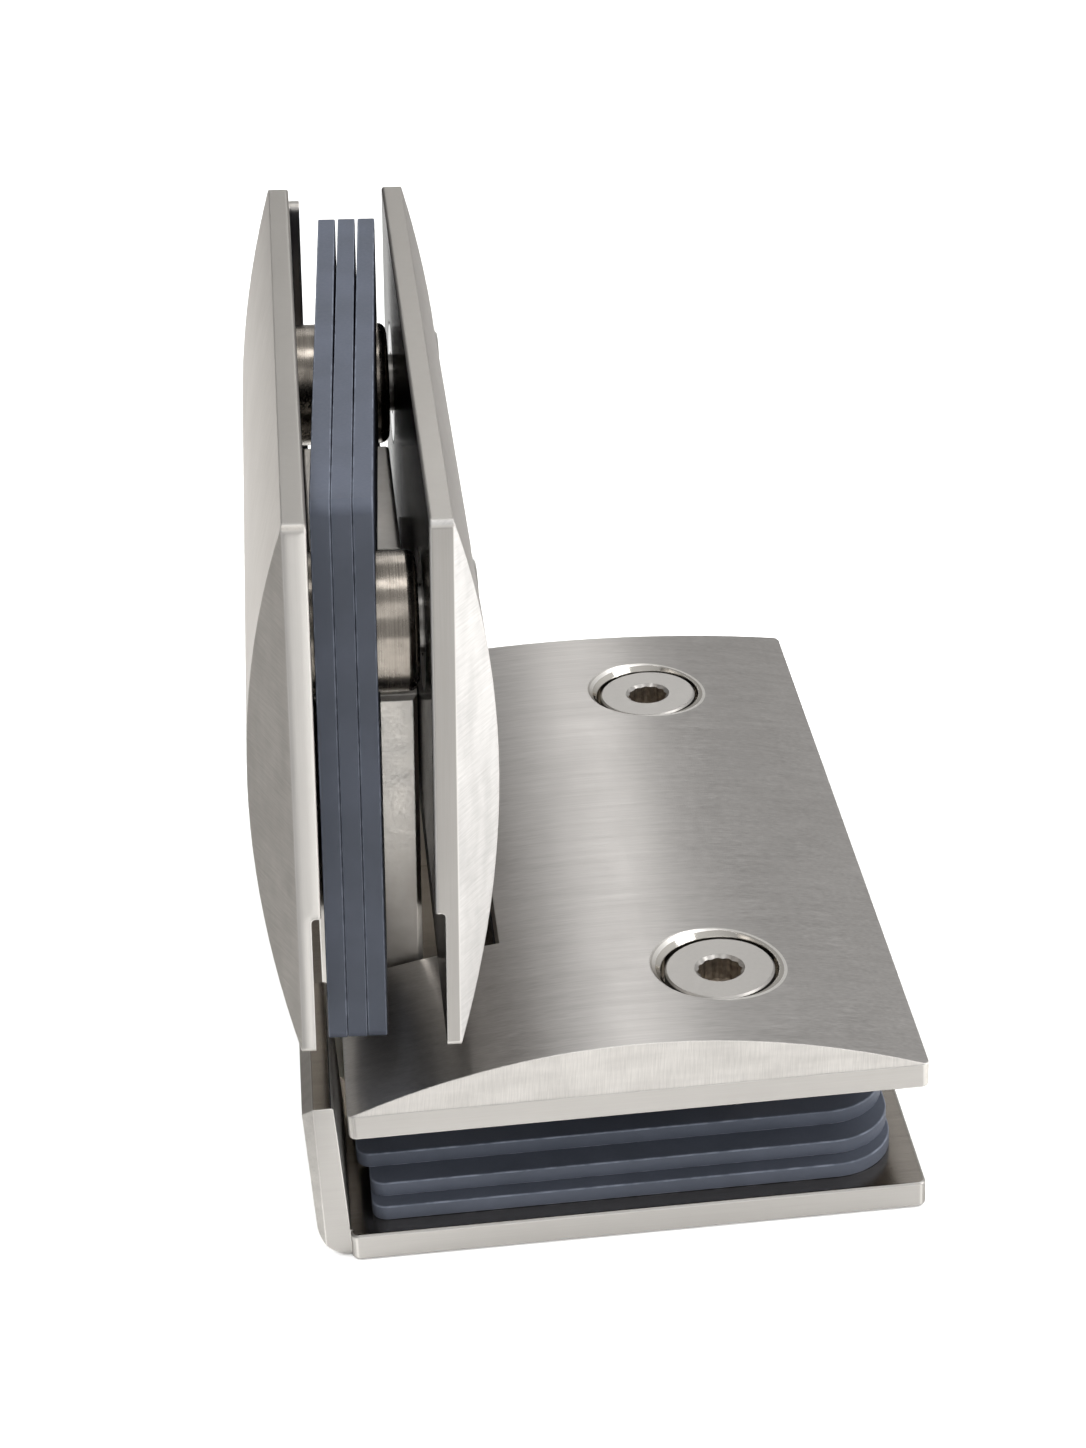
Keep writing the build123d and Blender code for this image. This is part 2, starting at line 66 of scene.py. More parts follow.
# Fixed outer plate. Stainless strip, sheared and bent up behind the pane, its faces brushed along
# the glass and its cut edges linished. It is plated in satin nickel, a warm grey.
MILLIMETRE = 0.001
PIN_HEIGHT = 8.2 * MILLIMETRE
PIN_AXIS = Vector((0.0, 1.0, 0.0))
FIXED_GRAIN = Vector((1.0, 0.0, 0.0))
FIXED_OUTWARD = Vector((0.0, 0.0, 1.0))
EASED_EDGE = 0.18 * MILLIMETRE
BEVEL_RUN = 0.8  # how far an end bevel goes along the pin for each rise outward
SCREW_PITCH = 58.2 * MILLIMETRE
RECESS_RADIUS = 6.38 * MILLIMETRE
RECESS_RIM = 0.16 * MILLIMETRE
NOISE_SPAN = {"From Min": 0.3, "From Max": 0.7}  # most of a noise lies between these


def linear(hex_colour):
    """The linear colour of an sRGB hex value."""
    channels = [int(hex_colour[start:start + 2], 16) / 255 for start in (1, 3, 5)]
    return [c / 12.92 if c <= 0.04045 else ((c + 0.055) / 1.055) ** 2.4 for c in channels] + [1.0]


def set_inputs(node, inputs):
    """Gives inputs, by name or by place among those in use, a value, a socket or a node."""
    for key, value in dict(inputs).items():
        in_use = [socket for socket in node.inputs if socket.enabled]
        target = in_use[key] if isinstance(key, int) else next(
            socket for socket in in_use if socket.name == key)
        if isinstance(value, bpy.types.Node):
            value = next(socket for socket in value.outputs if socket.enabled)
        if isinstance(value, bpy.types.NodeSocket):
            node.id_data.links.new(value, target)
        else:
            target.default_value = value


def add_node(tree, kind, inputs=(), **settings):
    """Adds one node with its settings and inputs."""
    made = tree.nodes.new(kind)
    for name, value in settings.items():
        setattr(made, name, value)
    set_inputs(made, inputs)
    return made


def new_finish(name):
    """A new material, its node tree, its shader and the object's coordinates."""
    material = bpy.data.materials.new(name)
    material.use_nodes = True
    tree = material.node_tree
    return material, tree, tree.nodes["Principled BSDF"], add_node(tree, "ShaderNodeTexCoord")


def streaks(tree, place, along, width, length, detail=2.0):
    """Noise drawn out along one direction, its scale from the width and length of a scratch."""
    turned = add_node(tree, "ShaderNodeMapping", {
        "Vector": place,
        "Rotation": along.rotation_difference(Vector((1.0, 0.0, 0.0))).to_euler(),
    })
    stretched = add_node(tree, "ShaderNodeMapping", {
        "Vector": turned,
        "Scale": (1 / length, 1 / width, 1 / width),
    })
    return add_node(tree, "ShaderNodeTexNoise", {
        "Vector": stretched,
        "Scale": 1.0,
        "Detail": detail,
    })


def squareness(tree, places, direction):
    """How squarely the surface faces along a direction, either way."""
    facing = add_node(tree, "ShaderNodeVectorMath",
                      {0: places.outputs["Normal"], 1: direction}, operation="DOT_PRODUCT")
    return add_node(tree, "ShaderNodeMath", {0: facing}, operation="ABSOLUTE")


def face_masks(tree, places, grain, outward):
    """Where the surface is an end bevel, which faces none of the plate's own directions, a flat
    end face, a cut edge or the inside of the clamp. The limits are cosines."""
    to_grain = squareness(tree, places, grain)
    to_end = squareness(tree, places, PIN_AXIS)
    to_outside = squareness(tree, places, outward)
    squarest = add_node(tree, "ShaderNodeMath", {0: to_grain, 1: to_end}, operation="MAXIMUM")
    squarest = add_node(tree, "ShaderNodeMath", {0: squarest, 1: to_outside}, operation="MAXIMUM")
    bevel = add_node(tree, "ShaderNodeMapRange", {
        "Value": squarest, "From Min": 0.84, "From Max": 0.9, "To Min": 1.0, "To Max": 0.0})
    end_face = add_node(tree, "ShaderNodeMapRange",
                        {"Value": to_end, "From Min": 0.96, "From Max": 0.99})
    cut = add_node(tree, "ShaderNodeMapRange", {
        "Value": to_outside, "From Min": 0.2, "From Max": 0.35, "To Min": 1.0, "To Max": 0.0})
    facing_out = add_node(tree, "ShaderNodeVectorMath",
                          {0: places.outputs["Normal"], 1: outward}, operation="DOT_PRODUCT")
    inside = add_node(tree, "ShaderNodeMapRange",
                      {"Value": facing_out, "From Min": -0.9, "From Max": -0.98})
    return bevel, end_face, cut, inside


def recess_masks(tree, places, grain, screw_place):
    """Where the surface is in the recess of the nearer of a plate's two clamp screws, and where
    it is the rim of that recess."""
    along_glass = add_node(tree, "ShaderNodeVectorMath",
                           {0: places.outputs["Object"], 1: grain}, operation="DOT_PRODUCT")
    row = grain.dot(Vector((0.0, 0.0, PIN_HEIGHT))) + screw_place
    from_row = add_node(tree, "ShaderNodeMath", {0: along_glass, 1: row}, operation="SUBTRACT")
    split = add_node(tree, "ShaderNodeSeparateXYZ", {0: places.outputs["Object"]})
    from_middle = add_node(tree, "ShaderNodeMath", {0: split.outputs["Y"]}, operation="ABSOLUTE")
    from_screw = add_node(tree, "ShaderNodeMath", {0: from_middle, 1: SCREW_PITCH / 2},
                          operation="SUBTRACT")
    offset = add_node(tree, "ShaderNodeCombineXYZ", {"X": from_row, "Y": from_screw})
    distance = add_node(tree, "ShaderNodeVectorMath", {0: offset}, operation="LENGTH")
    recess = add_node(tree, "ShaderNodeMath", {0: distance, 1: RECESS_RADIUS},
                      operation="LESS_THAN")
    rim = add_node(tree, "ShaderNodeMath", {0: distance, 1: RECESS_RADIUS, 2: RECESS_RIM},
                   operation="COMPARE")
    return recess, rim


def satin_nickel(name, grain, outward, slant, colours, rolled, screw_place=None):
    """Satin nickel: fine brush lines that stretch each reflection across them, end bevels ground
    at a slant, end faces rolled over at their rims, inside faces darkened as painted shade, and
    bright walls where the screw recesses were cut. The colours are for the bevels, the cut end
    faces (their own tone, set plate by plate partly as painted light and shade), the tint of
    grazing reflections (set plate by plate as painted shade and light) and the painted shade of
    the inside. The screws are at screw_place along the grain from the pin."""
    material, tree, surface, places = new_finish(name)
    surface.inputs["Metallic"].default_value = 1.0
    surface.inputs["Anisotropic"].default_value = 0.6
    # Cut end faces and grazing reflections get a tone set plate by plate, partly as painted light
    # and shade.
    bevel_colour, cut_tone_and_shade, grazing_tint_and_shade, painted_inside_shade = map(linear, colours)
    surface.inputs["Specular Tint"].default_value = grazing_tint_and_shade
    bevel, end_face, cut, inside = face_masks(tree, places, grain, outward)

    # Brushing belt scratches are about 0.02 mm wide; they are drawn several times as wide to show.
    place = places.outputs["Object"]
    brushed = streaks(tree, place, grain, 0.12 * MILLIMETRE, 7 * MILLIMETRE)
    broad = streaks(tree, place, grain, 0.8 * MILLIMETRE, 30 * MILLIMETRE)
    split = add_node(tree, "ShaderNodeSeparateXYZ", {0: place})
    from_middle = add_node(tree, "ShaderNodeMath", {0: split.outputs["Y"]}, operation="ABSOLUTE")
    mirrored = add_node(tree, "ShaderNodeCombineXYZ", {
        "X": split.outputs["X"], "Y": from_middle, "Z": split.outputs["Z"]})
    up_bevel = (outward - BEVEL_RUN * PIN_AXIS).normalized()
    slope = (up_bevel + slant * grain).normalized()
    ground = streaks(tree, mirrored, slope, 0.11 * MILLIMETRE, 1.8 * MILLIMETRE, 3.0)
    scratches = add_node(tree, "ShaderNodeMix", {"Factor": bevel, "A": brushed, "B": ground})
    cloud = streaks(tree, place, PIN_AXIS, 7 * MILLIMETRE, 12 * MILLIMETRE)
    patches = streaks(tree, mirrored, grain, 1.2 * MILLIMETRE, 5 * MILLIMETRE, 4.0)

    fine_tone = add_node(tree, "ShaderNodeMapRange",
                         {"Value": scratches, **NOISE_SPAN, "To Max": 0.65})
    broad_tone = add_node(tree, "ShaderNodeMapRange",
                          {"Value": broad, **NOISE_SPAN, "To Max": 0.35})
    tone = add_node(tree, "ShaderNodeMath", {0: fine_tone, 1: broad_tone}, operation="ADD")
    colour = add_node(tree, "ShaderNodeMix", {
        "Factor": tone, "A": linear("#aca9a6"), "B": linear("#c4c1be")}, data_type="RGBA")
    # End faces take the cut colour: their own tone, set partly as painted light and shade.
    edge_colour = add_node(tree, "ShaderNodeMix", {
        "Factor": end_face, "A": linear("#bebbb6"), "B": cut_tone_and_shade}, data_type="RGBA")
    tint_share = 0.75
    for mask, tint in ((cut, edge_colour), (bevel, bevel_colour)):
        mostly = add_node(tree, "ShaderNodeMath", {0: mask, 1: tint_share}, operation="MULTIPLY")
        colour = add_node(tree, "ShaderNodeMix", {
            "Factor": mostly, "A": colour, "B": tint}, data_type="RGBA")
    line_tone = add_node(tree, "ShaderNodeMapRange",
                         {"Value": ground, **NOISE_SPAN, "To Min": 0.84, "To Max": 1.0})
    patch_tone = add_node(tree, "ShaderNodeMapRange", {
        "Value": patches, "From Min": 0.35, "From Max": 0.65, "To Min": 0.88, "To Max": 1.0})
    ground_tone = add_node(tree, "ShaderNodeMath", {0: line_tone, 1: patch_tone},
                           operation="MULTIPLY")
    lined = add_node(tree, "ShaderNodeVectorMath", {0: colour, "Scale": ground_tone},
                     operation="SCALE")
    colour = add_node(tree, "ShaderNodeMix", {
        "Factor": bevel, "A": colour, "B": lined}, data_type="RGBA")
    # Painted shade darkens the faces inside the clamp.
    colour = add_node(tree, "ShaderNodeMix", {
        "Factor": inside, "A": colour, "B": painted_inside_shade}, data_type="RGBA",
        blend_type="MULTIPLY")

    # A painted highlight lightens every eased edge.
    geometry = add_node(tree, "ShaderNodeNewGeometry")
    eased = add_node(tree, "ShaderNodeBevel", {"Radius": EASED_EDGE}, samples=4)
    match = add_node(tree, "ShaderNodeVectorMath",
                     {0: geometry.outputs["True Normal"], 1: eased}, operation="DOT_PRODUCT")
    edge_glint = add_node(tree, "ShaderNodeMapRange", {
        "Value": match, "From Min": 0.99, "From Max": 0.93, "To Max": 0.7})
    colour = add_node(tree, "ShaderNodeMix", {
        "Factor": edge_glint, "A": colour, "B": linear("#f0ede9")}, data_type="RGBA")

    rough = add_node(tree, "ShaderNodeMapRange",
                     {"Value": scratches, **NOISE_SPAN, "To Min": 0.28, "To Max": 0.38})
    uneven = add_node(tree, "ShaderNodeMapRange",
                      {"Value": cloud, **NOISE_SPAN, "To Min": 0.0, "To Max": 0.04})
    rough = add_node(tree, "ShaderNodeMath", {0: rough, 1: uneven}, operation="ADD")
    rough = add_node(tree, "ShaderNodeMath", {0: bevel, 1: 0.06, 2: rough},
                     operation="MULTIPLY_ADD")
    rough = add_node(tree, "ShaderNodeMix", {"Factor": inside, "A": rough, "B": 0.18})

    # The cutter left the recess walls bright, and their rims are rubbed pale.
    if screw_place is not None:
        recess, rim = recess_masks(tree, places, grain, screw_place)
        for mask, tint, gloss in ((recess, "#c8c4bd", 0.08), (rim, "#e6e3de", 0.35)):
            colour = add_node(tree, "ShaderNodeMix", {
                "Factor": mask, "A": colour, "B": linear(tint)}, data_type="RGBA")
            rough = add_node(tree, "ShaderNodeMix", {"Factor": mask, "A": rough, "B": gloss})

    tangent = add_node(tree, "ShaderNodeMix", {"Factor": bevel, "A": PIN_AXIS, "B": grain},
                       data_type="VECTOR")
    tangent = add_node(tree, "ShaderNodeVectorTransform", {0: tangent},
                       vector_type="VECTOR", convert_from="OBJECT", convert_to="WORLD")
    crowned = add_node(tree, "ShaderNodeBevel", {"Radius": rolled}, samples=8)
    normal = add_node(tree, "ShaderNodeMix", {"Factor": end_face, "A": eased, "B": crowned},
                      data_type="VECTOR")
    bump = add_node(tree, "ShaderNodeBump", {
        "Strength": 0.6, "Distance": 0.004 * MILLIMETRE, "Height": scratches, "Normal": normal})
    set_inputs(surface, {
        "Base Color": colour, "Roughness": rough, "Tangent": tangent, "Normal": bump})
    return material


def finish_node(name, material):
    """Gives a CAD node its finished material."""
    mesh = nodes[name].data
    mesh.materials.clear()
    mesh.materials.append(material)


finish_node("fixed_outer_plate",
            satin_nickel("satin_nickel_flange", FIXED_GRAIN, -FIXED_OUTWARD, slant=0.0,
                         colours=("#b4b1ad", "#9c9995", "#8b8783", "#e6e1da"),
                         rolled=EASED_EDGE))

# Pin bearers. Two small blocks that hold the ends of the pin, cast in zinc, tumbled and nickel
# plated. A countersunk screw fixes each of them to the flange.
def cast_nickel(name):
    """Tumbled cast zinc with a nickel plate: no grain, soft pits and a mottled gloss."""
    material, tree, surface, places = new_finish(name)
    surface.inputs["Metallic"].default_value = 1.0
    pits = add_node(tree, "ShaderNodeTexNoise", {
        "Vector": places.outputs["Object"], "Scale": 1 / (0.35 * MILLIMETRE), "Detail": 4.0})
    mottle = add_node(tree, "ShaderNodeTexNoise", {
        "Vector": places.outputs["Object"], "Scale": 1 / (3 * MILLIMETRE), "Detail": 3.0})
    share = add_node(tree, "ShaderNodeMapRange",
                     {"Value": mottle, "From Min": 0.35, "From Max": 0.65})
    colour = add_node(tree, "ShaderNodeMix", {
        "Factor": share, "A": linear("#d9d4cd"), "B": linear("#e6e2dc")}, data_type="RGBA")
    rough = add_node(tree, "ShaderNodeMapRange",
                     {"Value": mottle, **NOISE_SPAN, "To Min": 0.33, "To Max": 0.43})
    pitted = add_node(tree, "ShaderNodeMapRange",
                      {"Value": pits, **NOISE_SPAN, "To Min": -0.04, "To Max": 0.06})
    rough = add_node(tree, "ShaderNodeMath", {0: rough, 1: pitted}, operation="ADD")
    eased = add_node(tree, "ShaderNodeBevel", {"Radius": EASED_EDGE}, samples=4)
    bump = add_node(tree, "ShaderNodeBump", {
        "Strength": 0.5, "Distance": 0.012 * MILLIMETRE, "Height": pits, "Normal": eased})
    set_inputs(surface, {"Base Color": colour, "Roughness": rough, "Normal": bump})
    return material


tumbled_cast = cast_nickel("cast_nickel")
for end in ("front", "rear"):
    finish_node(f"pin_bearer_{end}", tumbled_cast)

# Pivot pin and small screws. Turned stainless, bright, with faint marks of the lathe. The pin lies
# in the bearers, where two grub screws lock it.
def turned_steel(name, tint, roughness, pitch):
    """Turned bright steel, its marks from the feed of the lathe."""
    material, tree, surface, places = new_finish(name)
    surface.inputs["Metallic"].default_value = 1.0
    marks = add_node(tree, "ShaderNodeTexNoise", {
        "Vector": places.outputs["Object"], "Scale": 1 / pitch, "Detail": 3.0})
    share = add_node(tree, "ShaderNodeMapRange", {"Value": marks, **NOISE_SPAN})
    colour = add_node(tree, "ShaderNodeMix", {
        "Factor": share, "A": linear(tint[0]), "B": linear(tint[1])}, data_type="RGBA")
    rough = add_node(tree, "ShaderNodeMapRange", {
        "Value": marks, **NOISE_SPAN, "To Min": roughness - 0.04, "To Max": roughness + 0.05})
    set_inputs(surface, {"Base Color": colour, "Roughness": rough})
    return material


bright_steel = turned_steel("bright_steel", ("#c6c2bc", "#d9d6d1"), 0.2, 0.25 * MILLIMETRE)
finish_node("pivot_pin", bright_steel)
for end in ("front", "rear"):
    finish_node(f"bearer_screw_{end}", bright_steel)
    finish_node(f"grub_screw_{end}", bright_steel)

# Bushes and thrust washers. Natural nylon, turned from bar. The bushes sit in the bore of the pivot
# block, and the washers lie between the block and the bearers.
def natural_nylon():
    """Cream nylon with a silky gloss and the fine rings of a turning tool."""
    material, tree, surface, places = new_finish("natural_nylon")
    rings = streaks(tree, places.outputs["Object"], PIN_AXIS, 0.9 * MILLIMETRE, 0.15 * MILLIMETRE)
    colour = add_node(tree, "ShaderNodeMix", {
        "Factor": rings, "A": linear("#e0dccb"), "B": linear("#ece8da")}, data_type="RGBA")
    rough = add_node(tree, "ShaderNodeMapRange",
                     {"Value": rings, **NOISE_SPAN, "To Min": 0.38, "To Max": 0.5})
    set_inputs(surface, {"Base Color": colour, "Roughness": rough})
    return material


nylon = natural_nylon()
for end in ("front", "rear"):
    finish_node(f"bush_{end}", nylon)
    finish_node(f"thrust_washer_{end}", nylon)

# Pivot block. One zinc casting with a tongue, tumbled and nickel plated. It is screwed to the
# door's outer plate and turns on the pin.
finish_node("pivot_block", tumbled_cast)

# Spring clip and its cover. Blued spring strip, bent hot, that snaps onto the flats of the pin,
# and a thin stamped cover over its pocket in the block.
spring_strip = turned_steel("blued_spring_steel", ("#6b6c72", "#7f8086"), 0.32, 0.6 * MILLIMETRE)
finish_node("detent_spring", spring_strip)
finish_node("spring_cover", spring_strip)

# Block screws. Four countersunk screws of bright steel with hexagon sockets. They go through the
# block into the door's outer plate.
for number in range(1, 5):
    finish_node(f"block_screw_{number}", bright_steel)

# Door outer plate. Domed, brushed from its pin edge to its free edge, with end bevels that were
# ground on a belt at a slant.
door_lean = math.radians(2.9)
DOOR_GRAIN = Vector((math.sin(door_lean), 0.0, math.cos(door_lean)))
DOOR_OUTWARD = Vector((math.cos(door_lean), 0.0, -math.sin(door_lean)))
finish_node("door_outer_plate",
            satin_nickel("satin_nickel_door_outer", DOOR_GRAIN, -DOOR_OUTWARD, slant=0.7,
                         colours=("#c4bfb8", "#b0ada9", "#c8c5c1", "#59524c"),
                         rolled=1.2 * MILLIMETRE))

# Bosses. Four standoffs turned from bar, riveted to the outer plates and tapped for the clamp
# screws, with a rounded end.
def turned_boss(name, axis):
    """Turned nickel with a brown cast: fine rings round the boss, smeared along its length."""
    material, tree, surface, places = new_finish(name)
    surface.inputs["Metallic"].default_value = 1.0
    surface.inputs["Anisotropic"].default_value = 0.4
    rings = streaks(tree, places.outputs["Object"], axis, 6 * MILLIMETRE, 0.12 * MILLIMETRE)
    mottle = streaks(tree, places.outputs["Object"], axis, 1.2 * MILLIMETRE, 1.2 * MILLIMETRE, 4.0)
    share = add_node(tree, "ShaderNodeMapRange", {"Value": rings, **NOISE_SPAN})
    colour = add_node(tree, "ShaderNodeMix", {
        "Factor": share, "A": linear("#7f7870"), "B": linear("#9d968d")}, data_type="RGBA")
    rough = add_node(tree, "ShaderNodeMapRange",
                     {"Value": rings, **NOISE_SPAN, "To Min": 0.2, "To Max": 0.27})
    smear = add_node(tree, "ShaderNodeMapRange",
                     {"Value": mottle, **NOISE_SPAN, "To Min": -0.05, "To Max": 0.07})
    rough = add_node(tree, "ShaderNodeMath", {0: rough, 1: smear}, operation="ADD")
    bump = add_node(tree, "ShaderNodeBump", {
        "Strength": 0.5, "Distance": 0.004 * MILLIMETRE, "Height": mottle})
    set_inputs(surface, {"Base Color": colour, "Roughness": rough, "Normal": bump})
    return material


fixed_boss_steel = turned_boss("turned_nickel_fixed", FIXED_OUTWARD)
door_boss_steel = turned_boss("turned_nickel_door", DOOR_OUTWARD)
for end in ("front", "rear"):
    finish_node(f"fixed_boss_{end}", fixed_boss_steel)
    finish_node(f"door_boss_{end}", door_boss_steel)

# Pads. Six sheets of slate grey rubber, die-cut, three in each clamp, loose until the glass is in.
# Their edges are eased by the die and paler in places, partly rubbed and partly a painted
# highlight.
SHEET_EDGE = 0.14 * MILLIMETRE
WELD = 0.001 * MILLIMETRE
FLAT_ANGLE = math.radians(0.5)
RIM_ANGLE = math.radians(50)


def slate_rubber():
    """Calendered rubber sheet: matt slate with a soft sheen, a faint bloom, and cut edges that are
    paler in places, partly rubbed wear and partly painted highlight."""
    material, tree, surface, places = new_finish("slate_rubber")
    surface.inputs["Specular IOR Level"].default_value = 0.25
    bloom = add_node(tree, "ShaderNodeTexNoise", {
        "Vector": places.outputs["Object"], "Scale": 1 / (9 * MILLIMETRE), "Detail": 4.0})
    skin = add_node(tree, "ShaderNodeTexNoise", {
        "Vector": places.outputs["Object"], "Scale": 1 / (0.3 * MILLIMETRE), "Detail": 3.0})
    ragged = add_node(tree, "ShaderNodeTexNoise", {
        "Vector": places.outputs["Object"], "Scale": 1 / (1.6 * MILLIMETRE), "Detail": 5.0})
    rim = add_node(tree, "ShaderNodeAttribute", attribute_name="rim_wear_and_glint")
    patchy = add_node(tree, "ShaderNodeMapRange", {
        "Value": ragged, "From Min": 0.42, "From Max": 0.62, "To Min": 0.2, "To Max": 1.0})
    wear_and_glint = add_node(tree, "ShaderNodeMath", {0: rim.outputs["Fac"], 1: patchy},
                    operation="MULTIPLY")
    share = add_node(tree, "ShaderNodeMapRange",
                     {"Value": bloom, "From Min": 0.35, "From Max": 0.65})
    colour = add_node(tree, "ShaderNodeMix", {
        "Factor": share, "A": linear("#3c4049"), "B": linear("#454953")}, data_type="RGBA")
    # The rims are paler in patches: partly rubbed wear, partly painted highlight.
    colour = add_node(tree, "ShaderNodeMix", {
        "Factor": wear_and_glint, "A": colour, "B": linear("#5d626d")}, data_type="RGBA")
    rough = add_node(tree, "ShaderNodeMapRange",
                     {"Value": bloom, **NOISE_SPAN, "To Min": 0.5, "To Max": 0.6})
    grainy = add_node(tree, "ShaderNodeMapRange",
                      {"Value": skin, **NOISE_SPAN, "To Min": -0.03, "To Max": 0.05})
    rough = add_node(tree, "ShaderNodeMath", {0: rough, 1: grainy}, operation="ADD")
    bump = add_node(tree, "ShaderNodeBump", {
        "Strength": 0.4, "Distance": 0.01 * MILLIMETRE, "Height": skin})
    set_inputs(surface, {"Base Color": colour, "Roughness": rough, "Normal": bump})
    return material


def die_cut_sheet(node, body, rubber):
    """A rubber sheet on the outline of its CAD node, with the eased edges that a die leaves."""
    sheet = bmesh.new()
    sheet.from_mesh(nodes[node].data)
    bmesh.ops.remove_doubles(sheet, verts=sheet.verts, dist=WELD)
    bmesh.ops.dissolve_limit(sheet, angle_limit=FLAT_ANGLE,
                             verts=sheet.verts, edges=sheet.edges)
    # The eased rim faces are marked for a paler colour: partly rubbed wear, partly painted
    # highlight.
    edge_glint = sheet.faces.layers.float.new("rim_wear_and_glint")
    rims = [edge for edge in sheet.edges if edge.calc_face_angle(0.0) > RIM_ANGLE]
    eased = bmesh.ops.bevel(sheet, geom=rims, offset=SHEET_EDGE, segments=3, profile=0.5,
                            affect="EDGES", clamp_overlap=True)
    for face in eased["faces"]:
        face[edge_glint] = 1.0
    mesh = bpy.data.meshes.new(f"{node}_sheet")
    sheet.to_mesh(mesh)
    sheet.free()
    mesh.shade_smooth()
    mesh.materials.append(rubber)
    piece = bpy.data.objects.new(f"{node}_sheet", mesh)
    scene.collection.objects.link(piece)
    even = piece.modifiers.new("even_faces", "WEIGHTED_NORMAL")
    even.keep_sharp = False
    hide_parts(node)
    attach(piece, body)


rubber = slate_rubber()
for number in range(1, 4):
    finish_node(f"fixed_pad_{number}", rubber)
    die_cut_sheet(f"fixed_pad_{number}", "fixed_clamp", rubber)
    finish_node(f"door_pad_{number}", rubber)
    die_cut_sheet(f"door_pad_{number}", "door_clamp", rubber)

# Inner plates. Domed and brushed like the door's outer plate, each with two counterbored recesses
# whose walls are left bright from the cutter.
finish_node("fixed_inner_plate",
            satin_nickel("satin_nickel_fixed_inner", FIXED_GRAIN, FIXED_OUTWARD, slant=0.15,
                         colours=("#d8d4ce", "#95928e", "#d0cdc9", "#59524c"),
                         rolled=EASED_EDGE, screw_place=33.8 * MILLIMETRE))
# Its cut end faces and grazing reflections are set darkest of the plates, as painted shade.
finish_node("door_inner_plate",
            satin_nickel("satin_nickel_door_inner", DOOR_GRAIN, DOOR_OUTWARD, slant=0.35,
                         colours=("#cbc9c7", "#7d7a76", "#5c5956", "#59524c"),
                         rolled=EASED_EDGE, screw_place=50.7 * MILLIMETRE))

# Clamp screws. Two for each inner plate, of steel, with thin flat heads that were faced and satin
# plated. Their sockets were broached with twelve points, and a darker brown is painted in them
# as their shade.
AROUND = 96  # steps round a screw
PROFILE_POINTS = 11
BLUNT_POINT = 1.11  # how far the socket's worn points reach, in half widths across its flats
CREASE_ANGLE = math.radians(20)


def faced_steel():
    """Satin plated steel, even and quiet."""
    material, tree, surface, places = new_finish("faced_steel")
    surface.inputs["Metallic"].default_value = 1.0
    facing = add_node(tree, "ShaderNodeTexNoise", {
        "Vector": places.outputs["Object"], "Scale": 1 / (0.5 * MILLIMETRE), "Detail": 3.0})
    share = add_node(tree, "ShaderNodeMapRange", {"Value": facing, **NOISE_SPAN})
    colour = add_node(tree, "ShaderNodeMix", {
        "Factor": share, "A": linear("#aaa7a3"), "B": linear("#b1aeaa")}, data_type="RGBA")
    rough = add_node(tree, "ShaderNodeMapRange",
                     {"Value": facing, **NOISE_SPAN, "To Min": 0.34, "To Max": 0.4})
    eased = add_node(tree, "ShaderNodeBevel", {"Radius": 0.06 * MILLIMETRE}, samples=4)
    set_inputs(surface, {"Base Color": colour, "Roughness": rough, "Normal": eased})
    return material


def socket_painted_shade():
    """A darker brown painted into the socket as its shade, with a broken shine from the broach."""
    material, tree, surface, places = new_finish("socket_painted_shade")
    surface.inputs["Metallic"].default_value = 1.0
    broach = add_node(tree, "ShaderNodeTexNoise", {
        "Vector": places.outputs["Object"], "Scale": 1 / (0.7 * MILLIMETRE), "Detail": 3.0})
    share = add_node(tree, "ShaderNodeMapRange",
                     {"Value": broach, "From Min": 0.4, "From Max": 0.65})
    colour = add_node(tree, "ShaderNodeMix", {
        "Factor": share, "A": linear("#968d83"), "B": linear("#b9b1a7")}, data_type="RGBA")
    rough = add_node(tree, "ShaderNodeMapRange",
                     {"Value": broach, **NOISE_SPAN, "To Min": 0.45, "To Max": 0.3})
    set_inputs(surface, {"Base Color": colour, "Roughness": rough})
    return material


